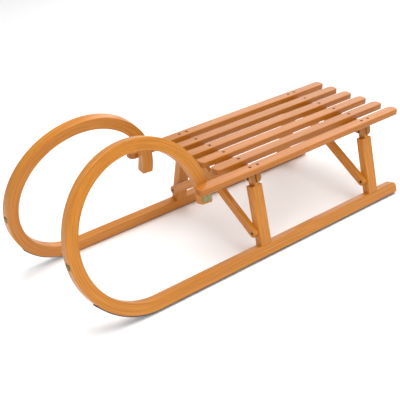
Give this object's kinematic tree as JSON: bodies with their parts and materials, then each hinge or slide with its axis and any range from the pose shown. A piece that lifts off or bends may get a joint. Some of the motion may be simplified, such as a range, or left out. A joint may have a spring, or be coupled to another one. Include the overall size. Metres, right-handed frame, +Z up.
{
  "type": "toboggan",
  "caption": "Wooden toboggan with two bent runners that curl back as tall horns, crossed braces and a six-slat seat.",
  "frame": {"origin": "on the ground, under the middle of the toboggan's bounding box, on the centre plane between the runners", "axes": "+X forward towards the horns, +Y to the rider's left, +Z up"},
  "size_m": [1.01, 0.3636, 0.3786],
  "materials": {
    "frame_beech": "clear varnish over bent beech",
    "slat_beech": "clear varnish over beech",
    "rail_steel": "bare steel strip",
    "plate_steel": "dull steel",
    "screw_steel": "dark bronzed steel",
    "zinc": "yellow zinc plate"
  },
  "bodies": {
    "root": {"brace_screws": "screw_steel", "front_yoke": "frame_beech", "horn_bracket_screws": "zinc", "horn_front_screws": "zinc", "horn_front_washers": "zinc", "left_centre_slat": "slat_beech", "left_front_brace": "frame_beech", "left_front_joint_plate": "plate_steel", "left_front_post": "frame_beech", "left_horn_bracket": "zinc", "left_middle_slat": "slat_beech", "left_outer_slat": "slat_beech", "left_rear_brace": "frame_beech", "left_rear_joint_plate": "plate_steel", "left_rear_post": "frame_beech", "left_runner": "frame_beech", "left_runner_rail": "rail_steel", "post_foot_screws": "screw_steel", "rail_screws": "zinc", "rear_yoke": "frame_beech", "right_centre_slat": "slat_beech", "right_front_brace": "frame_beech", "right_front_joint_plate": "plate_steel", "right_front_post": "frame_beech", "right_horn_bracket": "zinc", "right_middle_slat": "slat_beech", "right_outer_slat": "slat_beech", "right_rear_brace": "frame_beech", "right_rear_joint_plate": "plate_steel", "right_rear_post": "frame_beech", "right_runner": "frame_beech", "right_runner_rail": "rail_steel", "seat_screws": "screw_steel", "slat_bracket_screws": "zinc", "yoke_pins": "plate_steel"}
  },
  "joints": []
}
